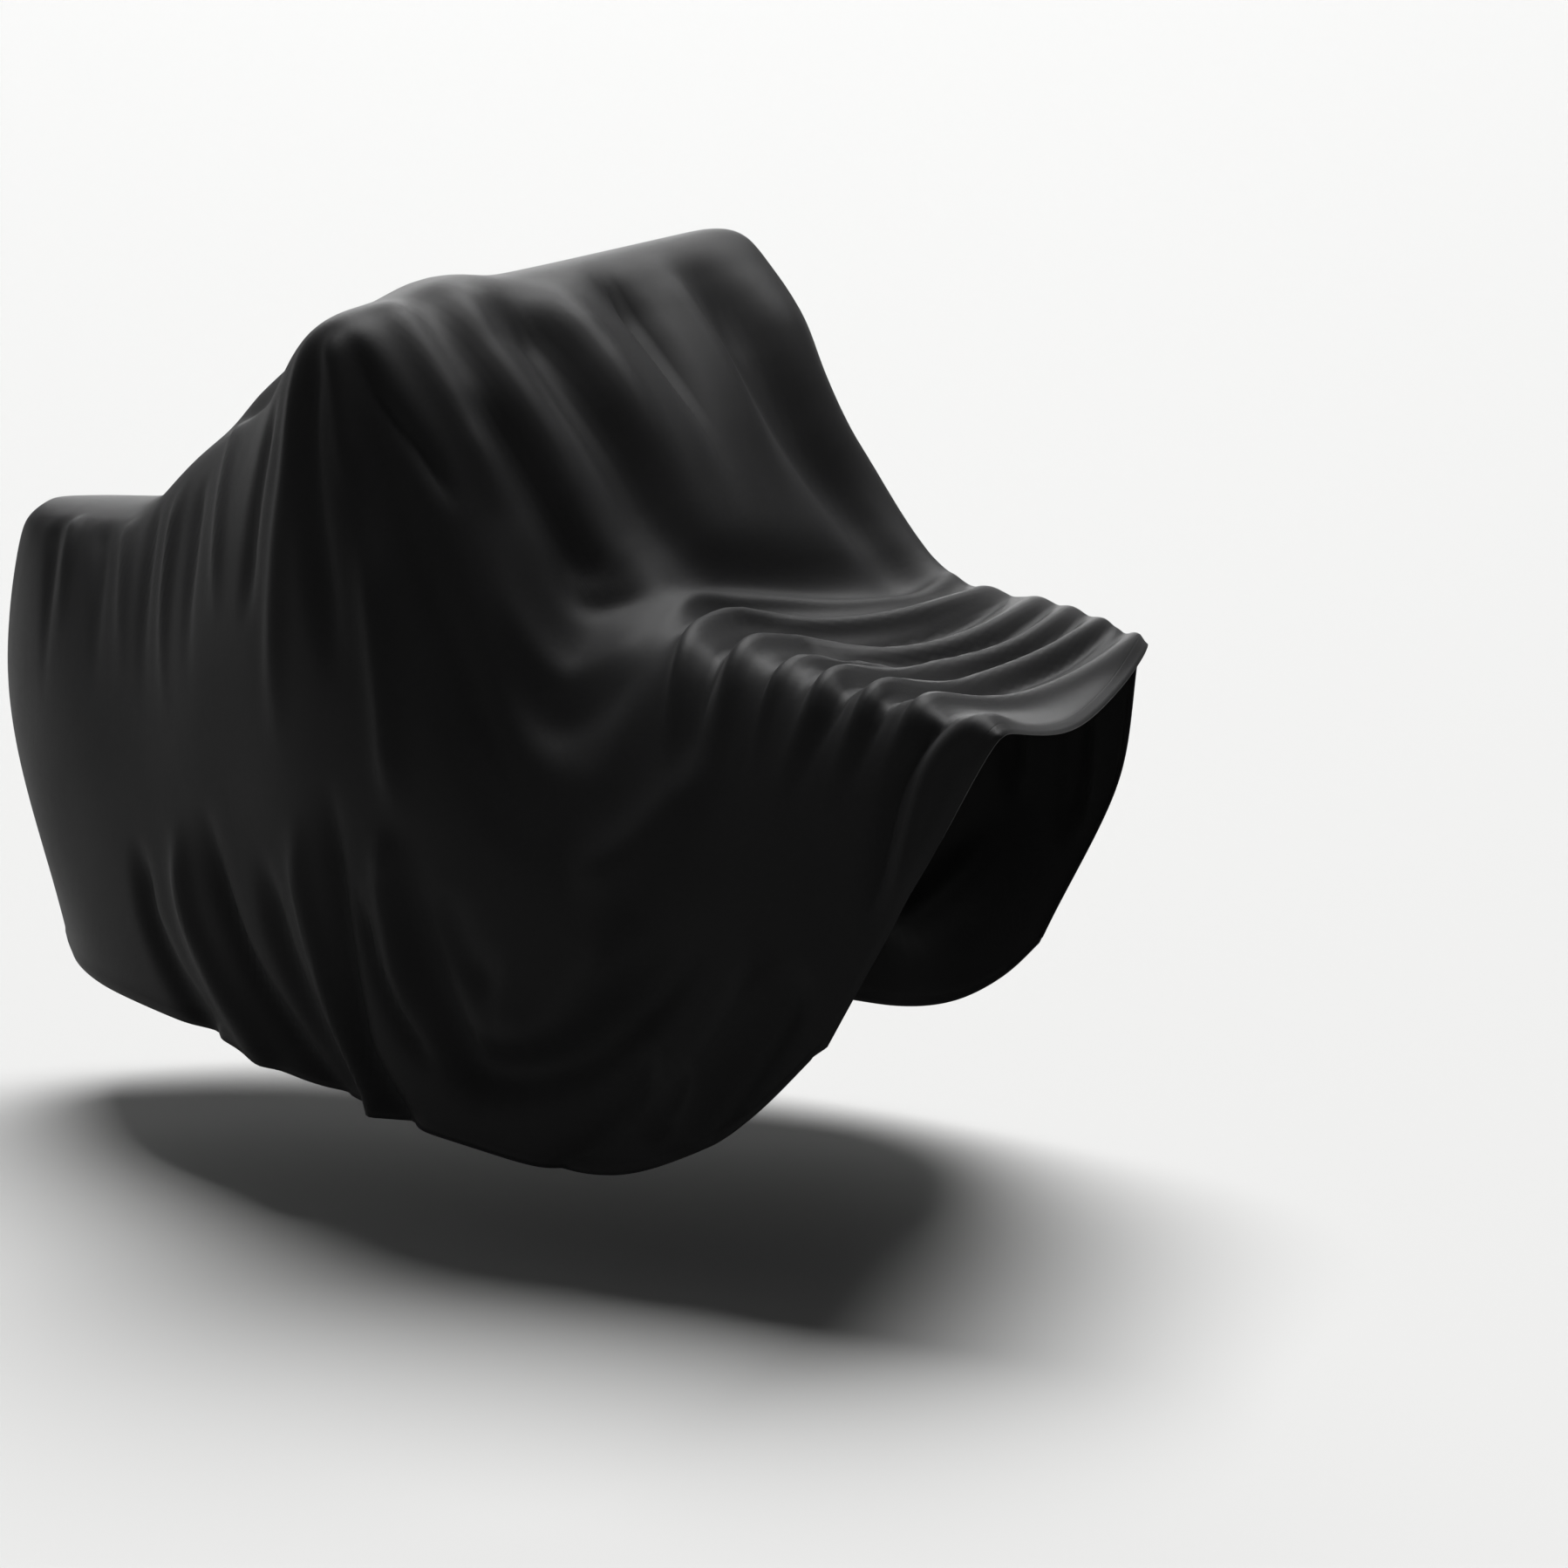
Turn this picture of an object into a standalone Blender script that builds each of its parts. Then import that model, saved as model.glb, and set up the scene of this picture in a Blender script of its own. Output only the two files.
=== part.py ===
"""Cover for a long cycle: one sheet of soft stretch cloth, in the shape in which it hangs.

The sheet is closed over the top and round the rear end, and open below and at the front. It
falls from a narrow hump at the rear and a wide high ridge, slopes down in front of the ridge
onto a flat, and stops there, so its front edge runs back and down to the hem on each side.
+X is forward, +Y is left and +Z is up. The origin is the point under the top, in the middle
of the high ridge, where the cover is held. Heights in the tables are above the floor.
"""

from collections import namedtuple

import bmesh
import bpy
import numpy as np

CLOTH_THICKNESS = 0.003
HELD_AT = np.array([0.730, 0.0, 1.139])  # from the point of the tables' frame on the floor
WELD_DISTANCE = 0.00001

# Each section runs from the crest on the middle line down to the hem, on the right side and
# on the left. along is its distance from the rear end, measured over the cloth. Lengths are in
# metres. A crest is (x, z), because it lies on the middle line. Other points are (x, y, z).
Section = namedtuple("Section", "along crest edge belly hem")

RIGHT_SIDE = (
    Section(0.00, (-0.250, 0.822), (-0.318, 0.000, 0.785), (-0.385, 0.000, 0.550), (-0.312, 0.000, 0.205)),
    Section(0.09, (-0.245, 0.824), (-0.245, -0.058, 0.795), (-0.318, -0.064, 0.550), (-0.215, -0.080, 0.206)),
    Section(0.24, (-0.170, 0.828), (-0.130, -0.085, 0.805), (-0.150, -0.165, 0.520), (-0.060, -0.185, 0.214)),
    Section(0.40, (-0.030, 0.832), (0.000, -0.100, 0.806), (0.030, -0.235, 0.520), (0.090, -0.252, 0.214)),
    Section(0.62, (0.160, 0.928), (0.200, -0.120, 0.912), (0.230, -0.290, 0.550), (0.300, -0.310, 0.210)),
    Section(0.88, (0.420, 1.062), (0.450, -0.212, 1.000), (0.460, -0.355, 0.620), (0.520, -0.350, 0.184)),
    Section(1.14, (0.745, 1.148), (0.724, -0.328, 1.130), (0.710, -0.405, 0.680), (0.740, -0.370, 0.152)),
    Section(1.27, (0.852, 1.080), (0.846, -0.310, 1.014), (0.845, -0.402, 0.580), (0.870, -0.373, 0.141)),
    Section(1.42, (0.955, 0.970), (0.944, -0.290, 0.856), (0.970, -0.390, 0.500), (1.000, -0.375, 0.131)),
    Section(1.55, (1.020, 0.845), (1.034, -0.270, 0.722), (1.095, -0.376, 0.450), (1.105, -0.372, 0.135)),
    Section(1.68, (1.105, 0.728), (1.190, -0.238, 0.752), (1.225, -0.362, 0.415), (1.215, -0.366, 0.168)),
    Section(1.83, (1.345, 0.668), (1.430, -0.258, 0.722), (1.415, -0.347, 0.450), (1.325, -0.360, 0.228)),
    Section(1.98, (1.555, 0.640), (1.680, -0.285, 0.694), (1.590, -0.324, 0.548), (1.440, -0.350, 0.325)),
)
LEFT_SIDE = (
    Section(0.00, (-0.250, 0.822), (-0.318, 0.000, 0.785), (-0.385, 0.000, 0.550), (-0.312, 0.000, 0.205)),
    Section(0.09, (-0.245, 0.824), (-0.245, 0.060, 0.795), (-0.318, 0.070, 0.550), (-0.225, 0.090, 0.200)),
    Section(0.24, (-0.170, 0.828), (-0.130, 0.085, 0.805), (-0.150, 0.165, 0.520), (-0.080, 0.190, 0.200)),
    Section(0.40, (-0.030, 0.832), (0.000, 0.100, 0.806), (0.030, 0.230, 0.520), (0.080, 0.250, 0.200)),
    Section(0.62, (0.160, 0.928), (0.200, 0.115, 0.910), (0.220, 0.285, 0.550), (0.270, 0.310, 0.190)),
    Section(0.88, (0.420, 1.062), (0.460, 0.210, 1.005), (0.450, 0.350, 0.620), (0.480, 0.350, 0.170)),
    Section(1.14, (0.745, 1.148), (0.760, 0.333, 1.171), (0.710, 0.392, 0.680), (0.700, 0.375, 0.150)),
    Section(1.27, (0.852, 1.080), (0.854, 0.334, 1.058), (0.815, 0.392, 0.580), (0.780, 0.378, 0.142)),
    Section(1.42, (0.955, 0.970), (0.926, 0.314, 0.912), (0.910, 0.385, 0.500), (0.870, 0.380, 0.140)),
    Section(1.55, (1.020, 0.845), (1.014, 0.302, 0.818), (1.000, 0.372, 0.450), (0.930, 0.376, 0.145)),
    Section(1.68, (1.105, 0.728), (1.130, 0.300, 0.730), (1.110, 0.360, 0.415), (1.000, 0.372, 0.160)),
    Section(1.83, (1.345, 0.668), (1.280, 0.305, 0.712), (1.230, 0.347, 0.445), (1.095, 0.365, 0.205)),
    Section(1.98, (1.555, 0.640), (1.418, 0.300, 0.675), (1.345, 0.330, 0.500), (1.180, 0.355, 0.270)),
)
COVER_LENGTH = RIGHT_SIDE[-1].along

# How far down a side the guide points lie, as a share of the way from the crest to the hem.
# Down the right side counts above 0, and down the left side below 0.
EDGE_DOWN, BELLY_DOWN, HEM_DOWN = 0.27, 0.63, 1.00
GUIDES_DOWN = (HEM_DOWN, BELLY_DOWN, EDGE_DOWN, 0.0, -EDGE_DOWN, -BELLY_DOWN, -HEM_DOWN)

# The cloth's corners are softened by taking the mean of places a little to each side.
SOFT_ALONG, SOFT_DOWN = 0.045, 0.06
MEAN_OF_THREE = ((-1, 0.25), (0, 0.50), (1, 0.25))  # steps with their shares

# Folds, a row each: a path over the cloth as (along, down) places, the half-width of the fold,
# and how far it stands out, below 0 for a trough. fades is the share of its length in which it
# dies away at its start and at its end.
Fold = namedtuple("Fold", "name width height fades path")
BOTH, START, TONGUE = (0.28, 0.28), (0.28, 0.0), (0.26, 0.64)

SLOPE_FOLDS = (
    Fold("high bump", 0.060, 0.012, BOTH, ((1.03, 0.15), (1.14, 0.16), (1.26, 0.17))),
    Fold("left ridge", 0.060, 0.026, TONGUE, ((1.17, -0.22), (1.33, -0.21), (1.56, -0.31), (1.70, -0.29))),
    Fold("left trough", 0.055, -0.032, TONGUE, ((1.16, -0.15), (1.32, -0.14), (1.54, -0.15), (1.68, -0.18))),
    Fold("thin ridge", 0.025, 0.012, TONGUE, ((1.16, -0.11), (1.31, -0.10), (1.41, -0.10), (1.58, -0.10))),
    Fold("sharp trough", 0.034, -0.030, TONGUE, ((1.15, -0.04), (1.27, -0.04), (1.40, -0.04), (1.57, -0.03))),
    Fold("middle ridge", 0.045, 0.022, TONGUE, ((1.16, 0.03), (1.30, 0.04), (1.45, 0.04), (1.60, 0.01))),
    Fold("middle trough", 0.048, -0.032, TONGUE, ((1.14, 0.08), (1.30, 0.09), (1.47, 0.10), (1.66, 0.05))),
    Fold("right ridge", 0.045, 0.024, TONGUE, ((1.10, 0.12), (1.29, 0.15), (1.47, 0.16), (1.63, 0.07))),
    Fold("right trough", 0.025, -0.012, BOTH, ((1.27, 0.21), (1.37, 0.20), (1.46, 0.20), (1.53, 0.17))),
)
RIGHT_FAN_FOLDS = (
    Fold("foremost ridge", 0.022, 0.008, BOTH, ((1.11, 0.16), (1.26, 0.22), (1.33, 0.23), (1.40, 0.26))),
    Fold("sharp trough", 0.020, -0.010, BOTH, ((1.16, 0.28), (1.22, 0.33), (1.29, 0.32), (1.35, 0.32))),
    Fold("short ridge", 0.018, 0.007, BOTH, ((1.13, 0.29), (1.17, 0.37), (1.20, 0.45))),
    Fold("long trough", 0.038, -0.018, BOTH, ((1.15, 0.28), (1.25, 0.41), (1.36, 0.46), (1.51, 0.57))),
    Fold("down ridge", 0.025, 0.012, BOTH, ((1.21, 0.44), (1.23, 0.49), (1.25, 0.61), (1.25, 0.68))),
    Fold("rear trough", 0.028, -0.014, BOTH, ((1.11, 0.30), (1.12, 0.40), (1.16, 0.55), (1.18, 0.61))),
    Fold("rear ridge", 0.024, 0.013, BOTH, ((1.09, 0.26), (1.09, 0.43), (1.07, 0.51), (1.04, 0.69))),
    Fold("back trough", 0.024, -0.012, BOTH, ((1.02, 0.34), (0.99, 0.47), (0.98, 0.56))),
    Fold("back ridge", 0.022, 0.009, BOTH, ((0.73, 0.20), (0.82, 0.38), (0.86, 0.46), (0.89, 0.54))),
)
SWAG_FOLDS = (
    Fold("outer ridge", 0.035, 0.012, BOTH, ((1.33, 0.33), (1.44, 0.43), (1.57, 0.45), (1.66, 0.30))),
    Fold("trough", 0.035, -0.016, BOTH, ((1.42, 0.38), (1.50, 0.40), (1.58, 0.36), (1.62, 0.28))),
    Fold("inner ridge", 0.024, 0.010, BOTH, ((1.38, 0.28), (1.44, 0.33), (1.52, 0.32), (1.61, 0.17))),
    Fold("top trough", 0.020, -0.009, BOTH, ((1.45, 0.22), (1.50, 0.22), (1.55, 0.19), (1.58, 0.14))),
    Fold("deep trough", 0.045, -0.024, BOTH, ((1.31, 0.64), (1.26, 0.84), (1.48, 0.87), (1.77, 0.54))),
    Fold("pool", 0.040, -0.012, BOTH, ((1.31, 0.71), (1.33, 0.77), (1.40, 0.80))),
    Fold("low ridge", 0.040, 0.012, BOTH, ((1.32, 0.82), (1.37, 0.85), (1.47, 0.82), (1.65, 0.59))),
    Fold("front ridge", 0.040, 0.010, BOTH, ((1.53, 0.59), (1.61, 0.54), (1.69, 0.47), (1.72, 0.42))),
)
RIGHT_HANGING_FOLDS = (
    Fold("front trough", 0.030, -0.014, START, ((1.84, 0.68), (1.83, 0.79), (1.80, 0.88), (1.72, 1.00))),
    Fold("front ridge", 0.030, 0.010, BOTH, ((1.79, 0.62), (1.77, 0.72), (1.66, 0.94))),
    Fold("hem trough", 0.024, -0.010, START, ((1.66, 0.80), (1.61, 0.89), (1.53, 0.96), (1.45, 1.00))),
    Fold("trough 1", 0.028, -0.013, START, ((0.58, 0.73), (0.56, 0.84), (0.60, 0.93), (0.68, 1.00))),
    Fold("ridge 1", 0.030, 0.012, START, ((0.72, 0.71), (0.69, 0.83), (0.74, 0.93), (0.84, 1.00))),
    Fold("trough 2", 0.034, -0.020, START, ((0.82, 0.70), (0.80, 0.79), (0.83, 0.88), (1.01, 1.00))),
    Fold("trough 3", 0.030, -0.014, START, ((0.96, 0.76), (0.95, 0.83), (0.98, 0.91), (1.06, 1.00))),
    Fold("ridge 2", 0.028, 0.012, START, ((1.07, 0.73), (1.04, 0.81), (1.05, 0.89), (1.10, 1.00))),
    Fold("trough 4", 0.028, -0.018, START, ((1.15, 0.69), (1.12, 0.78), (1.10, 0.93), (1.16, 1.00))),
    Fold("ridge 3", 0.030, 0.014, BOTH, ((1.24, 0.69), (1.21, 0.79), (1.21, 0.86), (1.23, 0.92))),
)
BACK_SLOPE_FOLDS = (
    Fold("middle trough", 0.045, -0.012, BOTH, ((1.02, 0.03), (0.84, 0.02), (0.62, -0.02))),
    Fold("right ridge", 0.035, 0.011, BOTH, ((1.06, 0.15), (0.86, 0.13), (0.62, 0.09))),
    Fold("right trough", 0.030, -0.010, BOTH, ((1.03, 0.25), (0.86, 0.22), (0.68, 0.19))),
    Fold("left ridge", 0.035, 0.011, BOTH, ((1.05, -0.11), (0.86, -0.10), (0.60, -0.07))),
    Fold("left trough", 0.030, -0.011, BOTH, ((1.04, -0.21), (0.84, -0.19), (0.66, -0.16))),
    Fold("left outer ridge", 0.030, 0.010, BOTH, ((1.05, -0.30), (0.85, -0.29), (0.66, -0.27))),
)
REAR_FOLDS = (
    Fold("right pleat 1", 0.018, 0.008, BOTH, ((0.26, 0.23), (0.29, 0.36), (0.32, 0.44))),
    Fold("right dip 1", 0.018, -0.009, BOTH, ((0.34, 0.26), (0.42, 0.42), (0.47, 0.52))),
    Fold("right pleat 2", 0.018, 0.009, BOTH, ((0.41, 0.26), (0.50, 0.43), (0.56, 0.52))),
    Fold("right dip 2", 0.018, -0.009, BOTH, ((0.53, 0.37), (0.59, 0.47), (0.65, 0.55))),
    Fold("right pleat 3", 0.018, 0.009, BOTH, ((0.61, 0.39), (0.67, 0.48), (0.73, 0.56))),
    Fold("right dip 3", 0.020, -0.010, BOTH, ((0.70, 0.38), (0.77, 0.46), (0.81, 0.54))),
    Fold("left pleat 1", 0.018, 0.009, BOTH, ((0.27, -0.23), (0.31, -0.38), (0.35, -0.52))),
    Fold("left dip", 0.022, -0.010, BOTH, ((0.38, -0.26), (0.45, -0.42), (0.50, -0.58))),
    Fold("left pleat 2", 0.020, 0.010, BOTH, ((0.48, -0.28), (0.56, -0.45), (0.62, -0.60))),
)

# The rolls and the gaps between them cross the front flat. Their last six columns are the along
# places at which they pass the places of ROLL_DOWN.
Roll = namedtuple("Roll", "name width height left_rim left middle right shoulder side")
ROLL_DOWN = (-0.34, -0.14, 0.00, 0.11, 0.32, 0.49)

ROLLS = (
    Roll("roll 1", 0.022, 0.018, 1.720, 1.740, 1.710, 1.660, 1.675, 1.670),
    Roll("gap 1", 0.018, -0.014, 1.750, 1.770, 1.745, 1.700, 1.705, 1.690),
    Roll("roll 2", 0.022, 0.018, 1.790, 1.810, 1.780, 1.730, 1.730, 1.715),
    Roll("gap 2", 0.016, -0.010, 1.825, 1.830, 1.800, 1.765, 1.770, 1.750),
    Roll("roll 3", 0.018, 0.014, 1.850, 1.850, 1.815, 1.805, 1.810, 1.790),
    Roll("gap 3", 0.016, -0.012, 1.880, 1.870, 1.835, 1.830, 1.835, 1.805),
    Roll("roll 4", 0.018, 0.014, 1.910, 1.890, 1.860, 1.855, 1.860, 1.840),
    Roll("gap 4", 0.016, -0.011, 1.925, 1.910, 1.880, 1.875, 1.875, 1.860),
    Roll("roll 5", 0.020, 0.012, 1.960, 1.950, 1.920, 1.905, 1.905, 1.890),
)

LEFT_FOLDS = (
    Fold("long trough", 0.035, -0.018, BOTH, ((1.16, -0.28), (1.24, -0.40), (1.36, -0.54), (1.48, -0.68))),
    Fold("down ridge", 0.030, 0.014, BOTH, ((1.19, -0.42), (1.20, -0.56), (1.21, -0.72), (1.22, -0.92))),
    Fold("rear trough", 0.030, -0.015, BOTH, ((1.10, -0.30), (1.08, -0.45), (1.09, -0.62), (1.08, -0.80))),
    Fold("back ridge", 0.030, 0.012, BOTH, ((0.98, -0.30), (0.93, -0.45), (0.91, -0.60), (0.91, -0.75))),
    Fold("swag ridge", 0.035, 0.016, BOTH, ((1.30, -0.35), (1.40, -0.50), (1.54, -0.55), (1.66, -0.38))),
    Fold("swag trough", 0.030, -0.014, BOTH, ((1.38, -0.35), (1.47, -0.43), (1.57, -0.42), (1.64, -0.32))),
    Fold("low trough", 0.045, -0.020, BOTH, ((1.28, -0.62), (1.33, -0.80), (1.50, -0.86), (1.76, -0.60))),
    Fold("hanging trough 1", 0.030, -0.014, START, ((0.54, -0.68), (0.56, -0.84), (0.61, -1.00))),
    Fold("hanging ridge 1", 0.030, 0.012, START, ((0.66, -0.62), (0.68, -0.80), (0.72, -1.00))),
    Fold("hanging trough 2", 0.035, -0.018, START, ((0.78, -0.66), (0.80, -0.83), (0.86, -1.00))),
    Fold("hanging trough 3", 0.030, -0.016, START, ((1.01, -0.70), (0.99, -0.85), (1.03, -1.00))),
    Fold("front pleat 1", 0.022, 0.010, BOTH, ((1.72, -0.30), (1.73, -0.45), (1.71, -0.62))),
    Fold("front pleat 2", 0.024, 0.012, BOTH, ((1.84, -0.30), (1.86, -0.50), (1.85, -0.74))),
)
HANGING_FOLDS = (
    SLOPE_FOLDS
    + RIGHT_FAN_FOLDS
    + SWAG_FOLDS
    + RIGHT_HANGING_FOLDS
    + BACK_SLOPE_FOLDS
    + REAR_FOLDS
    + LEFT_FOLDS
)
POINTS_ON_A_FOLD = 24
REAR_STRETCH_WITHOUT_FOLDS = 0.12

# The cells of the sheet, as stretches with (from, to, count): closest together on the front flat,
# where the rolls lie. Both sides have the same cells, because they meet at the rear end.
ALONG_CELLS = ((0.00, 0.30, 9), (0.30, 1.62, 34), (1.62, COVER_LENGTH, 31))
DOWN_CELLS = ((HEM_DOWN, EDGE_DOWN, 12), (EDGE_DOWN, -EDGE_DOWN, 14), (-EDGE_DOWN, -HEM_DOWN, 12))

BLACK = (0.009, 0.009, 0.010, 1.0)
CLOTH_ROUGHNESS = 0.6


def clear_scene():
    for existing in list(bpy.data.objects):
        bpy.data.objects.remove(existing, do_unlink=True)


def stretches(cells):
    """The places of the cells' edges, from the first stretch to the last."""
    parts = [np.linspace(first, last, count, endpoint=False) for first, last, count in cells]
    return np.append(np.concatenate(parts), cells[-1][1])


def ease(share):
    """0 to 1 with a soft start and end."""
    share = np.clip(share, 0.0, 1.0)
    return share * share * (3.0 - 2.0 * share)


def smooth_line(places, values, at):
    """A smooth line through the values that never swings past them (monotone cubic pieces)."""
    places, values, at = (np.asarray(each, dtype=float) for each in (places, values, at))
    gaps = np.diff(places)
    slopes = np.diff(values, axis=0) / gaps[:, None]
    before, after = slopes[:-1], slopes[1:]
    total = np.where(before * after > 0.0, before + after, 1.0)
    mean = np.where(before * after > 0.0, 2.0 * before * after / total, 0.0)
    tangents = np.concatenate([slopes[:1], mean, slopes[-1:]])
    piece = np.clip(np.searchsorted(places, at, side="right") - 1, 0, len(gaps) - 1)
    t = ((at - places[piece]) / gaps[piece])[:, None]
    gap = gaps[piece][:, None]
    return (
        (1 + 2 * t) * (1 - t) ** 2 * values[piece]
        + t * (1 - t) ** 2 * gap * tangents[piece]
        + t * t * (3 - 2 * t) * values[piece + 1]
        + t * t * (t - 1) * gap * tangents[piece + 1]
    )


def guide_net():
    """The sections' places along the cloth, and their points from the right hem to the left hem.

    The second section is repeated behind the first with its sides changed over, so the cloth
    runs smoothly round the rear end.
    """
    rows = []
    for right, left in zip(RIGHT_SIDE, LEFT_SIDE):
        crest = (right.crest[0], 0.0, right.crest[1])
        rows.append([right.hem, right.belly, right.edge, crest, left.edge, left.belly, left.hem])
    places = [section.along for section in RIGHT_SIDE]
    net = np.array(rows)
    return np.array([-places[1]] + places), np.concatenate([net[1:2, ::-1], net])


def loft(along, down):
    """The points through the guides, for each pair of an along place and a down place."""
    places, net = guide_net()
    guides = np.stack([smooth_line(places, net[:, i], along) for i in range(net.shape[1])], axis=1)
    shares = -np.array(GUIDES_DOWN)
    return np.stack([smooth_line(shares, row, -down) for row in guides])


def cloth_points(along, down):
    """Points of the smooth cloth: the mean of places close by, which softens its corners."""
    along, down = np.asarray(along), np.asarray(down)
    return sum(
        part_along * part_down * loft(along + step_along * SOFT_ALONG, down + step_down * SOFT_DOWN)
        for step_along, part_along in MEAN_OF_THREE
        for step_down, part_down in MEAN_OF_THREE
    )


def fold_line(fold):
    """Points in space along a fold's path."""
    path = np.array(fold.path)
    steps = np.hypot(*np.diff(path, axis=0).T)
    places = np.append(0.0, np.cumsum(steps))
    along, down = smooth_line(places, path, np.linspace(0.0, places[-1], POINTS_ON_A_FOLD)).T
    each = np.arange(POINTS_ON_A_FOLD)
    return cloth_points(along, down)[each, each]


def nearest_on_line(points, line):
    """Each point's distance to the line, and how far along the line it is nearest to, 0 to 1."""
    distance = np.full(len(points), np.inf)
    share = np.zeros(len(points))
    for i, (start, end) in enumerate(zip(line[:-1], line[1:])):
        step = end - start
        t = np.clip((points - start) @ step / (step @ step), 0.0, 1.0)
        gap = np.linalg.norm(points - (start + t[:, None] * step), axis=1)
        closer = gap < distance
        distance[closer] = gap[closer]
        share[closer] = (i + t[closer]) / (len(line) - 1)
    return distance, share


def all_folds():
    """Every fold of the cloth, with each roll and gap as one more fold."""
    rolls = [
        Fold(row.name, row.width, row.height, BOTH, tuple(zip(row[-len(ROLL_DOWN) :], ROLL_DOWN)))
        for row in ROLLS
    ]
    return HANGING_FOLDS + tuple(rolls)


def fold_lift(points, fold):
    """How far one fold moves each point off the smooth cloth."""
    distance, share = nearest_on_line(points, fold_line(fold))
    lift = fold.height * np.exp(-1.6 * (distance / fold.width) ** 2)
    start_fade, end_fade = fold.fades
    if start_fade:
        lift = lift * ease(share / start_fade)
    if end_fade:
        lift = lift * ease((1.0 - share) / end_fade)
    return lift


def folded_grid(along, down):
    """The cloth's outer points with every fold, in the tables' frame."""
    grid = cloth_points(along, down)
    grid[0] = (grid[0] + grid[0, ::-1]) / 2.0  # both sides meet at the rear end
    outward = np.cross(np.gradient(grid, axis=0), np.gradient(grid, axis=1))
    outward /= np.linalg.norm(outward, axis=2, keepdims=True) + 1e-12
    points = grid.reshape(-1, 3)
    lift = sum(fold_lift(points, fold) for fold in all_folds()).reshape(grid.shape[:2])
    lift *= ease(along / REAR_STRETCH_WITHOUT_FOLDS)[:, None]
    return grid + outward * lift[:, :, None]


def cloth_material():
    material = bpy.data.materials.new("black cloth")
    material.use_nodes = True
    shader = material.node_tree.nodes["Principled BSDF"]
    shader.inputs["Base Color"].default_value = BLACK
    shader.inputs["Roughness"].default_value = CLOTH_ROUGHNESS
    shader.inputs["Metallic"].default_value = 0.0
    return material


def make_cover():
    """The cover: a grid laid over the folded cloth, thickened inwards."""
    along, down = stretches(ALONG_CELLS), stretches(DOWN_CELLS)
    grid = folded_grid(along, down) - HELD_AT
    last_row, last_column = len(along) - 1, len(down) - 1
    sheet = bmesh.new()
    bmesh.ops.create_grid(sheet, x_segments=last_row, y_segments=last_column, size=1.0)
    for vertex in sheet.verts:
        row = round((vertex.co.x + 1.0) / 2.0 * last_row)
        column = round((vertex.co.y + 1.0) / 2.0 * last_column)
        vertex.co = grid[row, column]
    bmesh.ops.remove_doubles(sheet, verts=sheet.verts, dist=WELD_DISTANCE)
    mesh = bpy.data.meshes.new("cover")
    sheet.to_mesh(mesh)
    sheet.free()
    mesh.shade_smooth()
    mesh.materials.append(cloth_material())
    cover = bpy.data.objects.new("cover", mesh)
    thickness = cover.modifiers.new("cloth thickness", "SOLIDIFY")
    thickness.thickness = CLOTH_THICKNESS
    thickness.offset = -1.0
    thickness.use_even_offset = True
    thickness.use_quality_normals = True
    return cover


clear_scene()
collection = bpy.data.collections.new("cycle cover")
bpy.context.scene.collection.children.link(collection)
collection.objects.link(make_cover())
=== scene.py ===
"""Soft black cloth cover, hanging in its folds over a pale floor."""

from collections import namedtuple

import bmesh
import bpy
import numpy as np
from mathutils import Matrix, Vector


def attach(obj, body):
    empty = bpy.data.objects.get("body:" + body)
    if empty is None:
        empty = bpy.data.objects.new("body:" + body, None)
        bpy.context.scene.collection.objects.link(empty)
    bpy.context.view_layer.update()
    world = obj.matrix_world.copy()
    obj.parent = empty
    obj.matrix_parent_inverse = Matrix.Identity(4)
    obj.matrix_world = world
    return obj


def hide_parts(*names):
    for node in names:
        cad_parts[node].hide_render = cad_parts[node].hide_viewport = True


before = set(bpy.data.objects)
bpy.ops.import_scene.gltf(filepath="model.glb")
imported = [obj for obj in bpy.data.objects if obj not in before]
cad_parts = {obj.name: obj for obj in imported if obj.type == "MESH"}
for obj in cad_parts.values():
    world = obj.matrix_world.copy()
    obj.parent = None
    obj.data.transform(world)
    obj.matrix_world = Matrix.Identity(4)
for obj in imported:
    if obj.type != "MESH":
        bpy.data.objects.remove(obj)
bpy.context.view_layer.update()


# Camera: on the right side and a little in front, just above the cover's top, and turned a few
# degrees about its own line of sight, as the photo was taken.
CAMERA_PLACE = Vector((4.226, -4.137, 0.515))
CAMERA_YAW, CAMERA_PITCH, CAMERA_ROLL = np.radians((133.118, -11.257, -4.224))
CAMERA_LENS, CAMERA_SENSOR = 110.12, 36.0  # millimetres
FARTHEST_SEEN = 200.0


def aim(yaw, pitch, roll):
    """The turn of a camera that looks along yaw and pitch, rolled about that line."""
    forward = Vector((np.cos(yaw) * np.cos(pitch), np.sin(yaw) * np.cos(pitch), np.sin(pitch)))
    level = Vector((np.sin(yaw), -np.cos(yaw), 0.0))
    above = level.cross(forward)
    right = level * np.cos(roll) + above * np.sin(roll)
    up = above * np.cos(roll) - level * np.sin(roll)
    return Matrix((right, up, -forward)).transposed().to_4x4()


camera_data = bpy.data.cameras.new("camera")
camera_data.lens, camera_data.sensor_width = CAMERA_LENS, CAMERA_SENSOR
camera_data.clip_end = FARTHEST_SEEN
camera = bpy.data.objects.new("camera", camera_data)
camera.matrix_world = Matrix.Translation(CAMERA_PLACE) @ aim(CAMERA_YAW, CAMERA_PITCH, CAMERA_ROLL)
bpy.context.scene.collection.objects.link(camera)
bpy.context.scene.camera = camera
bpy.context.scene.view_settings.view_transform = "Standard"


# Floor: plain, pale and matt. The lowest hem hangs 0.13 m above it.
FLOOR_HEIGHT = -1.139
FLOOR_SIZE = 120.0
FLOOR_COLOUR = (0.22, 0.22, 0.218, 1.0)
FLOOR_ROUGHNESS, FLOOR_SPECULAR = 0.8, 0.1


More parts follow.
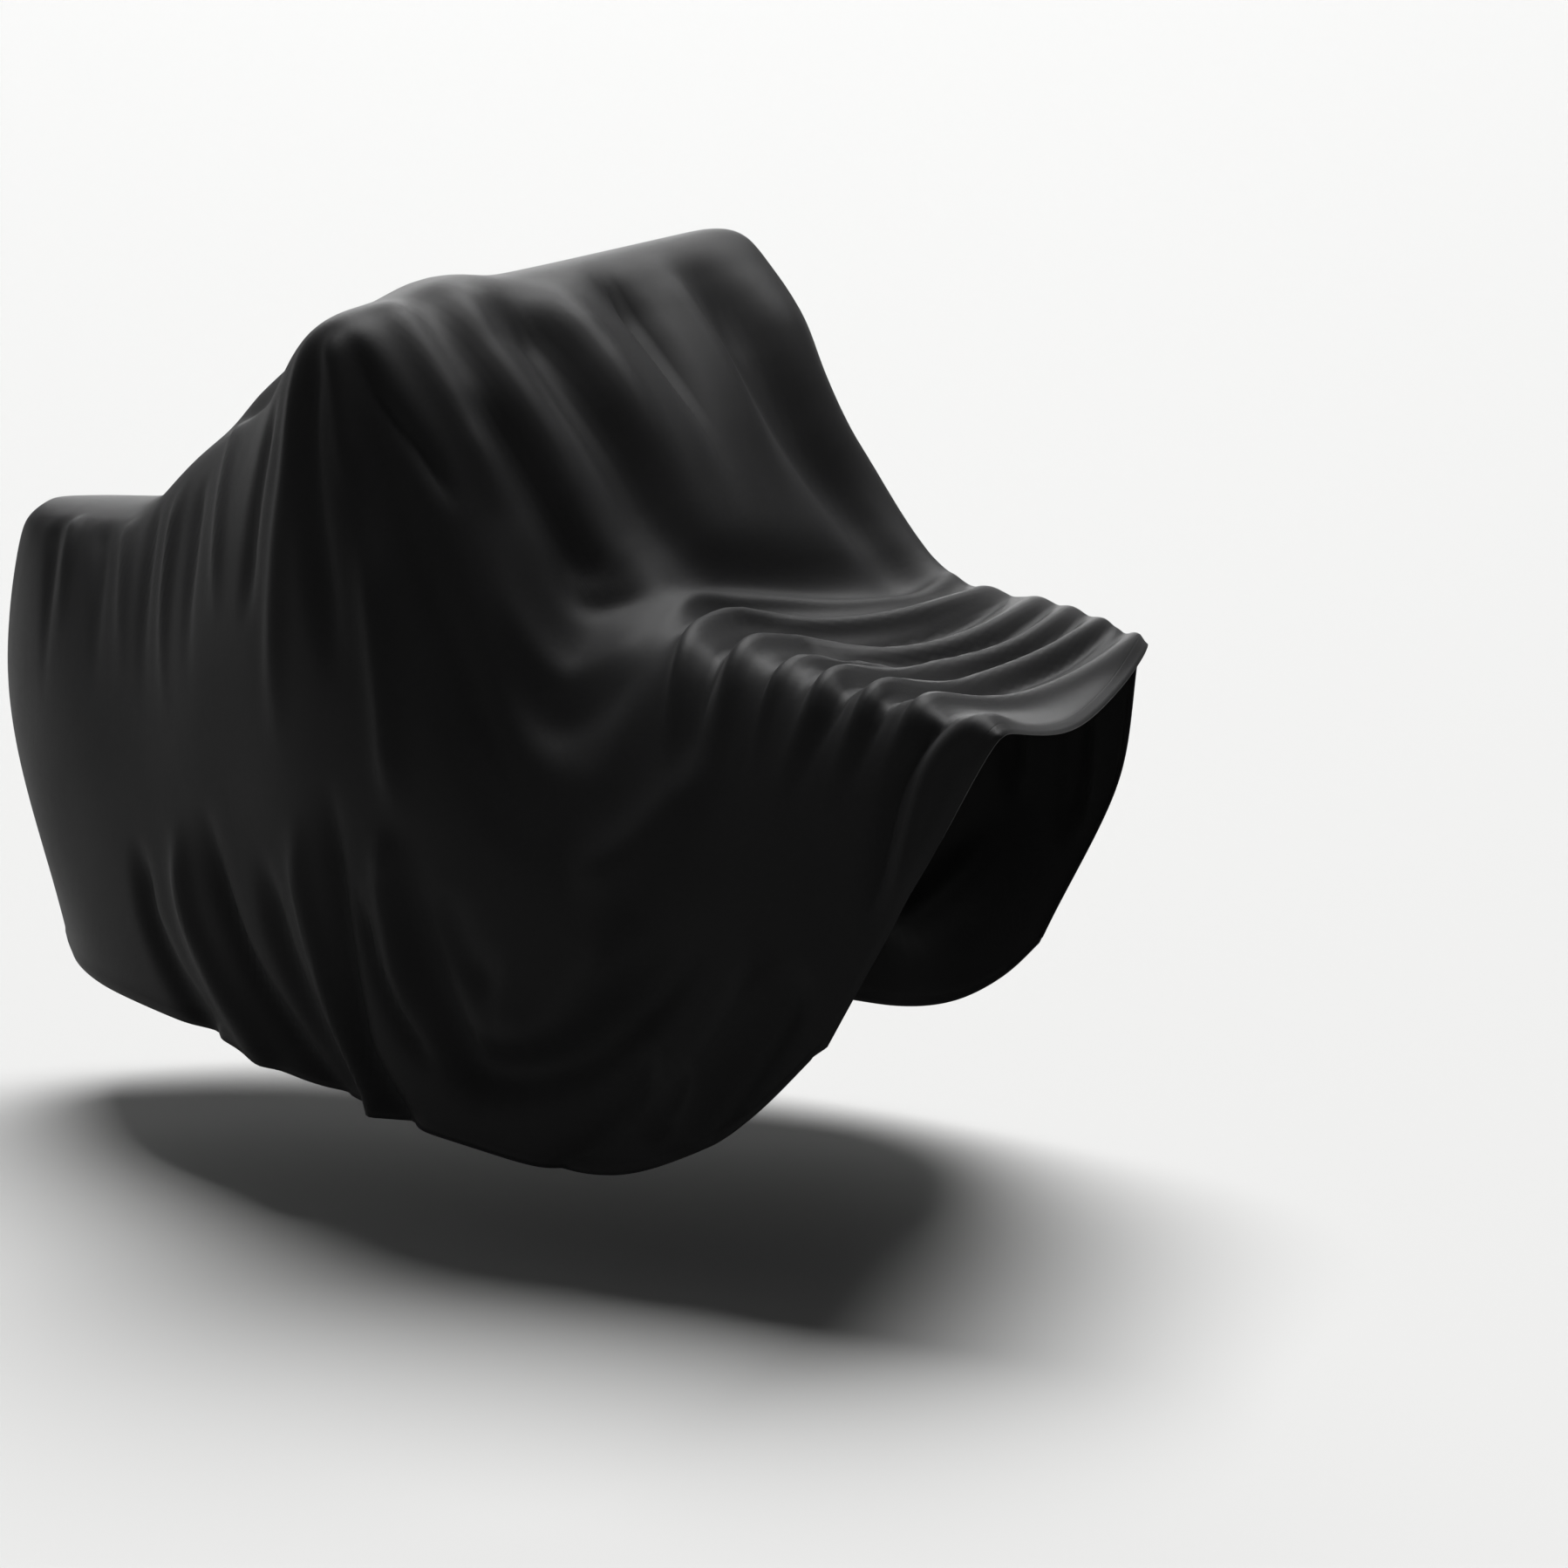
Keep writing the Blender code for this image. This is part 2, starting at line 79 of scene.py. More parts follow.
def add_floor():
    shape = bmesh.new()
    bmesh.ops.create_grid(shape, x_segments=1, y_segments=1, size=FLOOR_SIZE / 2)
    bmesh.ops.translate(shape, verts=shape.verts, vec=(0.0, 0.0, FLOOR_HEIGHT))
    mesh = bpy.data.meshes.new("floor")
    shape.to_mesh(mesh)
    shape.free()
    material = bpy.data.materials.new("floor paint")
    material.use_nodes = True
    paint = material.node_tree.nodes["Principled BSDF"]
    paint.inputs["Base Color"].default_value = FLOOR_COLOUR
    paint.inputs["Roughness"].default_value = FLOOR_ROUGHNESS
    paint.inputs["Specular IOR Level"].default_value = FLOOR_SPECULAR
    mesh.materials.append(material)
    floor = bpy.data.objects.new("floor", mesh)
    bpy.context.scene.collection.objects.link(floor)


add_floor()


# Light: one broad softbox overhead, a little behind and to the left, which draws out the folds.
# A weak one low behind lights the tops' far edges, and the room itself is dim and white.
Softbox = namedtuple("Softbox", "name place strength spread")  # spread in degrees
SOFTBOXES = (
    Softbox("overhead softbox", (-0.18, 0.38, 0.91), 12.0, 45.0),
    Softbox("rear softbox", (-0.90, 0.90, 0.40), 1.0, 30.0),
)
ROOM_COLOUR, ROOM_STRENGTH = (1.0, 1.0, 1.0, 1.0), 0.13


def add_light(softbox):
    data = bpy.data.lights.new(softbox.name, "SUN")
    data.energy, data.angle = softbox.strength, np.radians(softbox.spread)
    light = bpy.data.objects.new(softbox.name, data)
    light.matrix_world = (-Vector(softbox.place)).to_track_quat("-Z", "Y").to_matrix().to_4x4()
    bpy.context.scene.collection.objects.link(light)


for softbox in SOFTBOXES:
    add_light(softbox)
room = bpy.data.worlds.new("room")
room.use_nodes = True
background = room.node_tree.nodes["Background"]
background.inputs["Color"].default_value = ROOM_COLOUR
background.inputs["Strength"].default_value = ROOM_STRENGTH
bpy.context.scene.world = room


# Cover: one sheet of soft black stretch knit with a narrow turned hem. It is closed over the top
# and round the rear end, open below and in front, and lies loose over what it covers, so it hangs
# in swags from the high ridge and bunches in rolls on the front flat.
KNIT_THICKNESS = 0.002
HELD_AT = np.array([0.730, 0.0, 1.139])  # the tables' heights are above the floor
WELD_DISTANCE = 0.00001

# Each section runs from the crest on the middle line down to the hem, on the right side and on
# the left. along is its distance from the rear end over the cloth, in metres.
Section = namedtuple("Section", "along crest edge belly hem")
RIGHT_SIDE = (
    Section(0.00, (-0.250, 0.822), (-0.318, 0.000, 0.785), (-0.385, 0.000, 0.550), (-0.312, 0.000, 0.205)),
    Section(0.09, (-0.245, 0.824), (-0.245, -0.058, 0.795), (-0.318, -0.064, 0.550), (-0.215, -0.080, 0.206)),
    Section(0.24, (-0.170, 0.828), (-0.130, -0.085, 0.805), (-0.150, -0.165, 0.520), (-0.060, -0.185, 0.214)),
    Section(0.40, (-0.030, 0.832), (0.000, -0.100, 0.806), (0.030, -0.235, 0.520), (0.090, -0.252, 0.214)),
    Section(0.62, (0.160, 0.928), (0.200, -0.120, 0.912), (0.230, -0.290, 0.550), (0.300, -0.310, 0.210)),
    Section(0.88, (0.420, 1.062), (0.450, -0.212, 1.000), (0.460, -0.355, 0.620), (0.520, -0.350, 0.184)),
    Section(1.14, (0.745, 1.148), (0.724, -0.328, 1.130), (0.710, -0.405, 0.680), (0.740, -0.370, 0.152)),
    Section(1.27, (0.852, 1.080), (0.846, -0.310, 1.014), (0.845, -0.402, 0.580), (0.870, -0.373, 0.141)),
    Section(1.42, (0.955, 0.970), (0.944, -0.290, 0.856), (0.970, -0.390, 0.500), (1.000, -0.375, 0.131)),
    Section(1.55, (1.020, 0.845), (1.034, -0.270, 0.722), (1.095, -0.376, 0.450), (1.105, -0.372, 0.135)),
    Section(1.68, (1.105, 0.728), (1.190, -0.238, 0.752), (1.225, -0.362, 0.415), (1.215, -0.366, 0.168)),
    Section(1.83, (1.345, 0.668), (1.430, -0.258, 0.722), (1.415, -0.347, 0.450), (1.325, -0.360, 0.228)),
    Section(1.98, (1.555, 0.640), (1.680, -0.285, 0.694), (1.590, -0.324, 0.548), (1.440, -0.350, 0.325)),
)
LEFT_SIDE = (
    Section(0.00, (-0.250, 0.822), (-0.318, 0.000, 0.785), (-0.385, 0.000, 0.550), (-0.312, 0.000, 0.205)),
    Section(0.09, (-0.245, 0.824), (-0.245, 0.060, 0.795), (-0.318, 0.070, 0.550), (-0.225, 0.090, 0.200)),
    Section(0.24, (-0.170, 0.828), (-0.130, 0.085, 0.805), (-0.150, 0.165, 0.520), (-0.080, 0.190, 0.200)),
    Section(0.40, (-0.030, 0.832), (0.000, 0.100, 0.806), (0.030, 0.230, 0.520), (0.080, 0.250, 0.200)),
    Section(0.62, (0.160, 0.928), (0.200, 0.115, 0.910), (0.220, 0.285, 0.550), (0.270, 0.310, 0.190)),
    Section(0.88, (0.420, 1.062), (0.460, 0.210, 1.005), (0.450, 0.350, 0.620), (0.480, 0.350, 0.170)),
    Section(1.14, (0.745, 1.148), (0.760, 0.333, 1.171), (0.710, 0.392, 0.680), (0.700, 0.375, 0.150)),
    Section(1.27, (0.852, 1.080), (0.854, 0.334, 1.058), (0.815, 0.392, 0.580), (0.780, 0.378, 0.142)),
    Section(1.42, (0.955, 0.970), (0.926, 0.314, 0.912), (0.910, 0.385, 0.500), (0.870, 0.380, 0.140)),
    Section(1.55, (1.020, 0.845), (1.014, 0.302, 0.818), (1.000, 0.372, 0.450), (0.930, 0.376, 0.145)),
    Section(1.68, (1.105, 0.728), (1.130, 0.300, 0.730), (1.110, 0.360, 0.415), (1.000, 0.372, 0.160)),
    Section(1.83, (1.345, 0.668), (1.280, 0.305, 0.712), (1.230, 0.347, 0.445), (1.095, 0.365, 0.205)),
    Section(1.98, (1.555, 0.640), (1.418, 0.300, 0.675), (1.345, 0.330, 0.500), (1.180, 0.355, 0.270)),
)
COVER_LENGTH = RIGHT_SIDE[-1].along
EDGE_DOWN, BELLY_DOWN, HEM_DOWN = 0.27, 0.63, 1.00
GUIDES_DOWN = (HEM_DOWN, BELLY_DOWN, EDGE_DOWN, 0.0, -EDGE_DOWN, -BELLY_DOWN, -HEM_DOWN)
SOFT_ALONG, SOFT_DOWN = 0.045, 0.06
MEAN_OF_THREE = ((-1, 0.25), (0, 0.50), (1, 0.25))  # steps with their shares

# Folds, a row each: the half-width, how far it stands out (below 0 for a trough), and its path as
# (along, down) places. down is the share of the way from the crest to the right hem, and below 0
# to the left hem. fades is the share of its length in which a fold dies away at its start and at
# its end. A SHARP one is pinched.
Fold = namedtuple("Fold", "name shape width height fades path")
ROUND, SHARP = 2.0, 1.3
BOTH, START, TONGUE = (0.28, 0.28), (0.28, 0.0), (0.26, 0.64)
FOLDS = (
    # from the high ridge down the slope
    Fold("high bump", ROUND, 0.075, 0.014, BOTH, ((1.00, 0.10), (1.12, 0.10), (1.26, 0.11))),
    Fold("left ridge", ROUND, 0.060, 0.026, TONGUE,
         ((1.17, -0.22), (1.33, -0.21), (1.44, -0.23), (1.56, -0.31), (1.70, -0.29))),
    Fold("left trough", ROUND, 0.048, -0.024, BOTH,
         ((1.16, -0.15), (1.32, -0.14), (1.44, -0.15), (1.58, -0.18), (1.72, -0.20))),
    Fold("thin ridge", ROUND, 0.025, 0.012, TONGUE,
         ((1.16, -0.11), (1.31, -0.10), (1.41, -0.10), (1.49, -0.10), (1.58, -0.10))),
    Fold("sharp trough", SHARP, 0.034, -0.030, TONGUE,
         ((1.15, -0.04), (1.27, -0.04), (1.35, -0.04), (1.44, -0.04), (1.57, -0.03))),
    Fold("middle ridge", ROUND, 0.045, 0.022, TONGUE,
         ((1.16, 0.03), (1.30, 0.04), (1.39, 0.04), (1.48, 0.04), (1.60, 0.01))),
    Fold("middle trough", ROUND, 0.042, -0.026, TONGUE,
         ((1.14, 0.08), (1.27, 0.09), (1.37, 0.10), (1.47, 0.10), (1.66, 0.05))),
    Fold("right ridge", ROUND, 0.045, 0.024, TONGUE,
         ((1.10, 0.12), (1.29, 0.15), (1.38, 0.15), (1.47, 0.16), (1.63, 0.07))),
    Fold("foot hollow", ROUND, 0.065, -0.022, BOTH,
         ((1.67, -0.27), (1.65, -0.12), (1.62, 0.02), (1.57, 0.14))),
    Fold("right trough", ROUND, 0.025, -0.012, BOTH,
         ((1.27, 0.21), (1.33, 0.20), (1.40, 0.20), (1.47, 0.20), (1.53, 0.17))),
    # fanning out below the ridge's right end
    Fold("fan ridge 1", ROUND, 0.028, 0.012, BOTH,
         ((1.11, 0.18), (1.26, 0.22), (1.33, 0.23), (1.40, 0.26))),
    Fold("fan trough 1", SHARP, 0.018, -0.010, BOTH,
         ((1.16, 0.28), (1.22, 0.33), (1.29, 0.32), (1.35, 0.32))),
    Fold("fan ridge 2", ROUND, 0.020, 0.010, BOTH, ((1.13, 0.29), (1.17, 0.37), (1.20, 0.45))),
    Fold("fan trough 2", ROUND, 0.042, -0.015, BOTH,
         ((1.15, 0.28), (1.19, 0.34), (1.25, 0.41), (1.36, 0.46), (1.51, 0.57))),
    Fold("fan ridge 3", ROUND, 0.025, 0.012, BOTH,
         ((1.21, 0.44), (1.23, 0.49), (1.25, 0.61), (1.25, 0.68))),
    Fold("fan trough 3", ROUND, 0.028, -0.014, BOTH,
         ((1.11, 0.30), (1.12, 0.40), (1.16, 0.55), (1.18, 0.61))),
    Fold("fan ridge 4", ROUND, 0.026, 0.007, BOTH,
         ((1.09, 0.26), (1.09, 0.43), (1.07, 0.51), (1.04, 0.69))),
    Fold("fan trough 4", ROUND, 0.026, -0.008, BOTH, ((1.02, 0.34), (0.99, 0.47), (0.98, 0.56))),
    Fold("fan ridge 5", ROUND, 0.022, 0.006, BOTH,
         ((0.73, 0.20), (0.82, 0.38), (0.86, 0.46), (0.89, 0.54))),
    # swags between the fan and the front flat
    Fold("swag ridge 1", ROUND, 0.035, 0.003, BOTH,
         ((1.33, 0.33), (1.38, 0.38), (1.49, 0.45), (1.57, 0.45), (1.63, 0.37), (1.66, 0.29))),
    Fold("swag trough 1", ROUND, 0.035, -0.006, BOTH,
         ((1.42, 0.38), (1.50, 0.40), (1.58, 0.36), (1.62, 0.28))),
    Fold("swag ridge 2", ROUND, 0.026, 0.004, BOTH,
         ((1.38, 0.28), (1.44, 0.33), (1.52, 0.32), (1.58, 0.26), (1.61, 0.17))),
    Fold("swag trough 2", ROUND, 0.020, -0.006, BOTH,
         ((1.45, 0.22), (1.50, 0.22), (1.55, 0.19), (1.58, 0.14))),
    Fold("deep trough", ROUND, 0.045, -0.024, BOTH,
         ((1.31, 0.64), (1.25, 0.78), (1.31, 0.91), (1.52, 0.84), (1.77, 0.54))),
    Fold("pool", ROUND, 0.040, -0.012, BOTH, ((1.31, 0.71), (1.33, 0.77), (1.40, 0.80))),
    Fold("low ridge", ROUND, 0.040, 0.012, BOTH,
         ((1.32, 0.82), (1.37, 0.85), (1.47, 0.82), (1.65, 0.59))),
    Fold("front ridge", ROUND, 0.040, 0.010, BOTH,
         ((1.53, 0.59), (1.61, 0.54), (1.69, 0.47), (1.72, 0.42))),
    # hanging folds that run into the right hem
    Fold("front trough", ROUND, 0.030, -0.014, START,
         ((1.84, 0.68), (1.83, 0.79), (1.80, 0.88), (1.72, 1.00))),
    Fold("front low ridge", ROUND, 0.030, 0.010, BOTH, ((1.79, 0.62), (1.77, 0.72), (1.66, 0.94))),
    Fold("hem trough 1", SHARP, 0.022, -0.010, START,
         ((1.66, 0.80), (1.61, 0.89), (1.53, 0.96), (1.45, 1.00))),
    Fold("hem trough 2", SHARP, 0.018, -0.008, BOTH, ((1.72, 0.83), (1.68, 0.91), (1.62, 0.96))),
    Fold("trough 1", ROUND, 0.028, -0.013, START,
         ((0.58, 0.73), (0.56, 0.84), (0.60, 0.93), (0.68, 1.00))),
    Fold("ridge 1", ROUND, 0.030, 0.012, START,
         ((0.72, 0.71), (0.69, 0.83), (0.74, 0.93), (0.84, 1.00))),
    Fold("trough 2", SHARP, 0.034, -0.020, START,
         ((0.82, 0.70), (0.80, 0.79), (0.83, 0.88), (0.93, 0.96), (1.01, 1.00))),
    Fold("trough 3", ROUND, 0.030, -0.014, START,
         ((0.96, 0.76), (0.95, 0.83), (0.98, 0.91), (1.06, 1.00))),
    Fold("ridge 2", ROUND, 0.026, 0.012, START,
         ((1.07, 0.73), (1.04, 0.81), (1.05, 0.89), (1.10, 1.00))),
    Fold("trough 4", SHARP, 0.028, -0.018, START,
         ((1.15, 0.69), (1.12, 0.78), (1.10, 0.93), (1.16, 1.00))),
    Fold("trough 5", SHARP, 0.020, -0.012, BOTH,
         ((1.15, 0.77), (1.16, 0.85), (1.19, 0.90), (1.25, 0.94))),
    Fold("ridge 3", ROUND, 0.030, 0.014, BOTH, ((1.24, 0.69), (1.21, 0.79), (1.21, 0.86), (1.23, 0.89))),
    # on the slope behind the high ridge
    Fold("back middle trough", ROUND, 0.045, -0.012, BOTH, ((1.02, 0.03), (0.84, 0.02), (0.62, -0.02))),
    Fold("back right ridge", ROUND, 0.035, 0.011, BOTH, ((1.06, 0.15), (0.86, 0.13), (0.62, 0.09))),
    Fold("back right trough", ROUND, 0.030, -0.010, BOTH, ((1.03, 0.25), (0.86, 0.22), (0.68, 0.19))),
    Fold("back left ridge", ROUND, 0.035, 0.011, BOTH, ((1.05, -0.11), (0.86, -0.10), (0.60, -0.07))),
    Fold("back left trough", ROUND, 0.030, -0.011, BOTH, ((1.04, -0.21), (0.84, -0.19), (0.66, -0.16))),
    Fold("back outer ridge", ROUND, 0.030, 0.010, BOTH, ((1.05, -0.30), (0.85, -0.29), (0.66, -0.27))),
    # short pleats below the rear hump
    Fold("rear pleat 1", ROUND, 0.018, 0.006, TONGUE, ((0.26, 0.21), (0.29, 0.36), (0.32, 0.50))),
    Fold("rear pleat 2", ROUND, 0.020, 0.007, TONGUE, ((0.42, 0.24), (0.50, 0.43), (0.56, 0.56))),
    Fold("rear pleat 3", ROUND, 0.020, 0.007, TONGUE, ((0.61, 0.32), (0.67, 0.48), (0.73, 0.62))),
    Fold("rear dip 1", ROUND, 0.020, -0.006, TONGUE, ((0.20, 0.24), (0.26, 0.43), (0.29, 0.58))),
    Fold("rear dip 2", ROUND, 0.020, -0.006, TONGUE, ((0.34, 0.24), (0.42, 0.42), (0.47, 0.56))),
    Fold("rear dip 3", ROUND, 0.020, -0.006, TONGUE, ((0.53, 0.30), (0.59, 0.46), (0.65, 0.60))),
    Fold("rear dip 4", ROUND, 0.022, -0.007, TONGUE, ((0.70, 0.34), (0.76, 0.46), (0.81, 0.60))),
    # short rolls and gaps on the front flat, between the long ones of ROLLS
    Fold("roll 0", ROUND, 0.016, 0.010, BOTH,
         ((1.66, -0.32), (1.68, -0.16), (1.64, 0.00), (1.61, 0.12), (1.62, 0.20))),
    Fold("gap 0", SHARP, 0.018, -0.012, BOTH,
         ((1.68, -0.32), (1.71, -0.15), (1.68, 0.00), (1.64, 0.10), (1.65, 0.28))),
    Fold("right roll 1", ROUND, 0.016, 0.012, BOTH,
         ((1.82, -0.04), (1.79, 0.04), (1.78, 0.20), (1.76, 0.45))),
    Fold("right gap 1", SHARP, 0.012, -0.009, BOTH,
         ((1.81, 0.03), (1.79, 0.13), (1.80, 0.25), (1.80, 0.37))),
    Fold("left gap", SHARP, 0.012, -0.008, BOTH, ((1.945, -0.34), (1.93, -0.16), (1.89, -0.01))),
    Fold("right gap 2", SHARP, 0.016, -0.010, BOTH,
         ((1.93, 0.15), (1.93, 0.31), (1.91, 0.48), (1.92, 0.71))),
    Fold("right roll 2", ROUND, 0.020, 0.010, BOTH,
         ((1.94, 0.09), (1.96, 0.25), (1.94, 0.45), (1.97, 0.79))),
    # the left side
    Fold("left fan trough 1", ROUND, 0.035, -0.018, BOTH,
         ((1.16, -0.28), (1.24, -0.40), (1.36, -0.54), (1.48, -0.68))),
    Fold("left fan ridge", ROUND, 0.030, 0.014, BOTH,
         ((1.19, -0.42), (1.20, -0.56), (1.21, -0.72), (1.22, -0.92))),
    Fold("left fan trough 2", ROUND, 0.030, -0.015, BOTH,
         ((1.10, -0.30), (1.08, -0.45), (1.09, -0.62), (1.08, -0.80))),
    Fold("left back ridge", ROUND, 0.030, 0.012, BOTH,
         ((0.98, -0.30), (0.93, -0.45), (0.91, -0.60), (0.91, -0.75))),
    Fold("left swag ridge", ROUND, 0.035, 0.016, BOTH,
         ((1.30, -0.35), (1.40, -0.50), (1.54, -0.55), (1.66, -0.38))),
    Fold("left swag trough", ROUND, 0.030, -0.014, BOTH,
         ((1.38, -0.35), (1.47, -0.43), (1.57, -0.42), (1.64, -0.32))),
    Fold("left deep trough", ROUND, 0.045, -0.020, BOTH,
         ((1.28, -0.62), (1.33, -0.80), (1.50, -0.86), (1.76, -0.60))),
    Fold("left trough 1", ROUND, 0.030, -0.014, START, ((0.54, -0.68), (0.56, -0.84), (0.61, -1.00))),
    Fold("left ridge 1", ROUND, 0.030, 0.012, START, ((0.66, -0.62), (0.68, -0.80), (0.72, -1.00))),
    Fold("left trough 2", ROUND, 0.035, -0.018, START, ((0.78, -0.66), (0.80, -0.83), (0.86, -1.00))),
    Fold("left trough 3", ROUND, 0.030, -0.016, START, ((1.01, -0.70), (0.99, -0.85), (1.03, -1.00))),
    Fold("left pleat 1", ROUND, 0.018, 0.009, BOTH, ((0.27, -0.23), (0.31, -0.38), (0.35, -0.52))),
    Fold("left dip", ROUND, 0.022, -0.010, BOTH, ((0.38, -0.26), (0.45, -0.42), (0.50, -0.58))),
    Fold("left pleat 2", ROUND, 0.020, 0.010, BOTH, ((0.48, -0.28), (0.56, -0.45), (0.62, -0.60))),
    Fold("left front pleat 1", ROUND, 0.022, 0.010, BOTH, ((1.72, -0.30), (1.73, -0.45), (1.71, -0.62))),
    Fold("left front pleat 2", ROUND, 0.024, 0.012, BOTH, ((1.84, -0.30), (1.86, -0.50), (1.85, -0.74))),
)

# The long rolls, and the gaps between them, cross the front flat from the left rim and run over
# its right shoulder. Their last six columns are the along places where they pass ROLL_DOWN.
Roll = namedtuple("Roll", "name shape width height left_rim left middle right shoulder side")
ROLL_DOWN = (-0.34, -0.14, 0.00, 0.11, 0.32, 0.49)
ROLLS = (
    Roll("roll 1", ROUND, 0.022, 0.020, 1.720, 1.740, 1.710, 1.660, 1.675, 1.670),
    Roll("gap 1", SHARP, 0.016, -0.016, 1.750, 1.770, 1.745, 1.700, 1.705, 1.690),
    Roll("roll 2", ROUND, 0.022, 0.018, 1.790, 1.810, 1.780, 1.730, 1.730, 1.715),
    Roll("gap 2", SHARP, 0.013, -0.010, 1.825, 1.830, 1.795, 1.760, 1.765, 1.750),
    Roll("roll 3", ROUND, 0.018, 0.014, 1.850, 1.850, 1.815, 1.810, 1.815, 1.790),
    Roll("gap 3", SHARP, 0.014, -0.013, 1.880, 1.870, 1.835, 1.830, 1.835, 1.805),
    Roll("roll 4", ROUND, 0.018, 0.015, 1.910, 1.890, 1.860, 1.855, 1.860, 1.840),
    Roll("gap 4", SHARP, 0.014, -0.013, 1.925, 1.910, 1.880, 1.875, 1.875, 1.860),
    Roll("roll 5", ROUND, 0.020, 0.014, 1.965, 1.950, 1.920, 1.905, 1.905, 1.890),
)
POINTS_ON_A_FOLD = 24
FOLD_FALL = 1.6  # so that a fold is down to a fifth of its height at its half-width
FOLD_REACH = 2.6  # in half-widths
REAR_STRETCH_WITHOUT_FOLDS = 0.12

# The front edge turns down a little, and a narrow hem is turned under all round.
CURL_WIDTH, CURL_DEPTH = 0.022, 0.008
HEM_WIDTH, HEM_STEP, HEM_RAMP = 0.018, 0.0012, 0.0045

# Cells of the sheet, as stretches with (from, to, count), closest where the rolls lie.
ALONG_CELLS = ((0.00, 0.30, 30), (0.30, 1.05, 62), (1.05, 1.60, 62), (1.60, COVER_LENGTH, 78))
SIDE_CELLS = ((HEM_DOWN, 0.975, 4), (0.975, EDGE_DOWN, 70))
TOP_CELLS = ((EDGE_DOWN, -EDGE_DOWN, 54),)


def stretches(cells):
    """The places of the cells' edges, from the first stretch to the last."""
    parts = [np.linspace(first, last, count, endpoint=False) for first, last, count in cells]
    return np.append(np.concatenate(parts), cells[-1][1])


def ease(share):
    """0 to 1 with a soft start and end."""
    share = np.clip(share, 0.0, 1.0)
    return share * share * (3.0 - 2.0 * share)


def smooth_line(places, values, at):
    """A smooth line through the values that never swings past them (monotone cubic pieces)."""
    places, values, at = (np.asarray(each, dtype=float) for each in (places, values, at))
    gaps = np.diff(places)
    slopes = np.diff(values, axis=0) / gaps[:, None]
    before, after = slopes[:-1], slopes[1:]
    total = np.where(before * after > 0.0, before + after, 1.0)
    mean = np.where(before * after > 0.0, 2.0 * before * after / total, 0.0)
    tangents = np.concatenate([slopes[:1], mean, slopes[-1:]])
    piece = np.clip(np.searchsorted(places, at, side="right") - 1, 0, len(gaps) - 1)
    t = ((at - places[piece]) / gaps[piece])[:, None]
    gap = gaps[piece][:, None]
    return (
        (1 + 2 * t) * (1 - t) ** 2 * values[piece]
        + t * (1 - t) ** 2 * gap * tangents[piece]
        + t * t * (3 - 2 * t) * values[piece + 1]
        + t * t * (t - 1) * gap * tangents[piece + 1]
    )


def guide_net():
    """The sections' places along the cloth, and their points from the right hem to the left hem.

    The second section is repeated behind the first with its sides changed over, so the cloth
    runs smoothly round the rear end.
    """
    rows = []
    for right, left in zip(RIGHT_SIDE, LEFT_SIDE):
        crest = (right.crest[0], 0.0, right.crest[1])
        rows.append([right.hem, right.belly, right.edge, crest, left.edge, left.belly, left.hem])
    places = [section.along for section in RIGHT_SIDE]
    net = np.array(rows) - HELD_AT
    return np.array([-places[1]] + places), np.concatenate([net[1:2, ::-1], net])


def loft(along, down):
    """The points through the guides, for each pair of an along place and a down place."""
    places, net = guide_net()
    guides = np.stack([smooth_line(places, net[:, i], along) for i in range(net.shape[1])], axis=1)
    shares = -np.array(GUIDES_DOWN)
    return np.stack([smooth_line(shares, row, -down) for row in guides])


def cloth_points(along, down):
    """Points of the smooth cloth: the mean of places close by, which softens its corners."""
    along, down = np.asarray(along), np.asarray(down)
    return sum(
        part_along * part_down * loft(along + step_along * SOFT_ALONG, down + step_down * SOFT_DOWN)
        for step_along, part_along in MEAN_OF_THREE
        for step_down, part_down in MEAN_OF_THREE
    )


def fold_line(fold):
    """Points in space along a fold's path."""
    path = np.array(fold.path)
    steps = np.hypot(*np.diff(path, axis=0).T)
    places = np.append(0.0, np.cumsum(steps))
    along, down = smooth_line(places, path, np.linspace(0.0, places[-1], POINTS_ON_A_FOLD)).T
    each = np.arange(POINTS_ON_A_FOLD)
    return cloth_points(along, down)[each, each]


def nearest_on_line(points, line):
    """Each point's distance to the line, and how far along the line it is nearest to, 0 to 1."""
    distance = np.full(len(points), np.inf)
    share = np.zeros(len(points))
    for i, (start, end) in enumerate(zip(line[:-1], line[1:])):
        step = end - start
        t = np.clip((points - start) @ step / (step @ step), 0.0, 1.0)
        gap = np.linalg.norm(points - (start + t[:, None] * step), axis=1)
        closer = gap < distance
        distance[closer] = gap[closer]
        share[closer] = (i + t[closer]) / (len(line) - 1)
    return distance, share


def all_folds():
    """Every fold of the cloth, with each long roll and gap as one more fold."""
    return FOLDS + tuple(
        Fold(*row[:4], BOTH, tuple(zip(row[-len(ROLL_DOWN) :], ROLL_DOWN))) for row in ROLLS
    )


def add_fold(lift, points, fold):
    """Adds how far one fold moves each point off the smooth cloth."""
    line = fold_line(fold)
    reach = FOLD_REACH * fold.width
    near = ((points > line.min(axis=0) - reach) & (points < line.max(axis=0) + reach)).all(axis=1)
    distance, share = nearest_on_line(points[near], line)
    height = fold.height * np.exp(-FOLD_FALL * (distance / fold.width) ** fold.shape)
    start_fade, end_fade = fold.fades
    if start_fade:
        height = height * ease(share / start_fade)
    if end_fade:
        height = height * ease((1.0 - share) / end_fade)
    lift[near] += height


def distance_run(points):
    """How far each point of each row of points lies along its row, from the first."""
    steps = np.linalg.norm(np.diff(points, axis=1), axis=2)
    return np.concatenate([np.zeros((len(points), 1)), np.cumsum(steps, axis=1)], axis=1)


